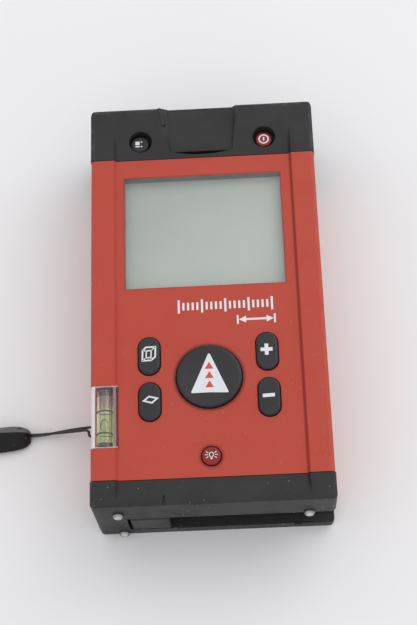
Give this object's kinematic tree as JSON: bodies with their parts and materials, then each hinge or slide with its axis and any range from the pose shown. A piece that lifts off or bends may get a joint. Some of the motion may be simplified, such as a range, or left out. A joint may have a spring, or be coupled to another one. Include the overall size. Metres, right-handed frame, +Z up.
{
  "type": "laser distance meter",
  "caption": "Handheld laser distance meter with display, sprung keys, spirit level, fold-out end piece, metal stops, battery door and cord wrist strap.",
  "frame": {"origin": "on the surface it lies on, under the middle of the housing's footprint", "axes": "+X to the right of the keypad, +Y along the housing to the laser end, +Z up out of the keypad"},
  "size_m": [0.1993, 0.1278, 0.0283],
  "materials": {
    "red_housing": "fine-grained moulded plastic",
    "dark_cap": "fine-grained tough plastic",
    "key_black": "satin rubber",
    "key_red": "satin rubber",
    "seal_rubber": "matte rubber",
    "clear_pane": "clear",
    "clear_acrylic": "clear moulded",
    "display_bezel": "satin",
    "display_face": "smooth liquid crystal face",
    "light_guide": "smooth",
    "circuit_board": "solder-masked",
    "chip_black": "matte",
    "screw_steel": "zinc-plated",
    "stop_steel": "polished",
    "contact_steel": "nickel-plated",
    "brass": "turned",
    "cell_jacket": "printed film jacket",
    "level_liquid": "tinted liquid",
    "level_black": "matte",
    "plate_silver": "satin film",
    "carrier_black": "matte",
    "end_piece_grey": "satin",
    "strap_cord_black": "braided",
    "ferrule_black": "semi-gloss"
  },
  "bodies": {
    "housing": {"front_shell": "red_housing", "rear_shell": "red_housing", "top_cap": "dark_cap", "bottom_cap": "dark_cap", "top_seal": "seal_rubber", "bottom_seal": "seal_rubber", "display_window": "clear_pane", "lcd_frame": "display_bezel", "lcd_panel": "display_face", "lcd_backlight": "light_guide", "lcd_connectors": "seal_rubber", "main_board": "circuit_board", "key_domes": "contact_steel", "board_chips": "chip_black", "beeper": "chip_black", "board_screws": "screw_steel", "housing_screws": "screw_steel", "vial_block": "clear_acrylic", "vial_tube": "clear_acrylic", "vial_plugs": "level_black", "vial_liquid": "level_liquid", "vial_rings": "level_black", "end_piece_pin": "screw_steel", "stop_pins": "stop_steel", "battery_cells": "cell_jacket", "battery_contacts": "contact_steel", "battery_cover_pin": "screw_steel", "optics_carrier": "carrier_black", "laser_module": "brass", "collimator_lens": "clear_pane", "receiver_lens": "clear_pane", "detector_board": "circuit_board", "front_window": "clear_pane", "tripod_bush": "brass", "rating_plate": "plate_silver", "strap_bar": "screw_steel", "strap_cord": "strap_cord_black", "strap_ferrule": "ferrule_black", "hand_loop": "strap_cord_black"},
    "measure_key": {"measure_key": "key_black"},
    "volume_key": {"volume_key": "key_black"},
    "area_key": {"area_key": "key_black"},
    "plus_key": {"plus_key": "key_black"},
    "minus_key": {"minus_key": "key_black"},
    "light_key": {"light_key": "key_red"},
    "reference_key": {"reference_key": "key_black"},
    "power_key": {"power_key": "key_red"},
    "end_piece": {"end_piece": "end_piece_grey"},
    "battery_cover": {"battery_cover": "dark_cap"}
  },
  "joints": [
    {"name": "measure_key_press", "type": "slide", "parent": "housing", "child": "measure_key", "axis": [0, 0, -1], "range_m": [0, 0.0006], "stiffness_N_per_m": 3300},
    {"name": "volume_key_press", "type": "slide", "parent": "housing", "child": "volume_key", "axis": [0, 0, -1], "range_m": [0, 0.0006], "stiffness_N_per_m": 1800},
    {"name": "area_key_press", "type": "slide", "parent": "housing", "child": "area_key", "axis": [0, 0, -1], "range_m": [0, 0.0006], "stiffness_N_per_m": 1800},
    {"name": "plus_key_press", "type": "slide", "parent": "housing", "child": "plus_key", "axis": [0, 0, -1], "range_m": [0, 0.0006], "stiffness_N_per_m": 1800},
    {"name": "minus_key_press", "type": "slide", "parent": "housing", "child": "minus_key", "axis": [0, 0, -1], "range_m": [0, 0.0006], "stiffness_N_per_m": 1800},
    {"name": "light_key_press", "type": "slide", "parent": "housing", "child": "light_key", "axis": [0, 0, -1], "range_m": [0, 0.0006], "stiffness_N_per_m": 1800},
    {"name": "reference_key_press", "type": "slide", "parent": "housing", "child": "reference_key", "axis": [0, 0, -1], "range_m": [0, 0.0006], "stiffness_N_per_m": 1800},
    {"name": "power_key_press", "type": "slide", "parent": "housing", "child": "power_key", "axis": [0, 0, -1], "range_m": [0, 0.0006], "stiffness_N_per_m": 1800},
    {"name": "end_piece_swing", "type": "hinge", "parent": "housing", "child": "end_piece", "pos_m": [-0.018, -0.0553, 0.0095], "axis": [0, 0, -1], "range_deg": [0, 90]},
    {"name": "battery_cover_hinge", "type": "hinge", "parent": "housing", "child": "battery_cover", "pos_m": [0, 0.0046, 0.0015], "axis": [1, 0, 0], "range_deg": [0, 95]}
  ]
}
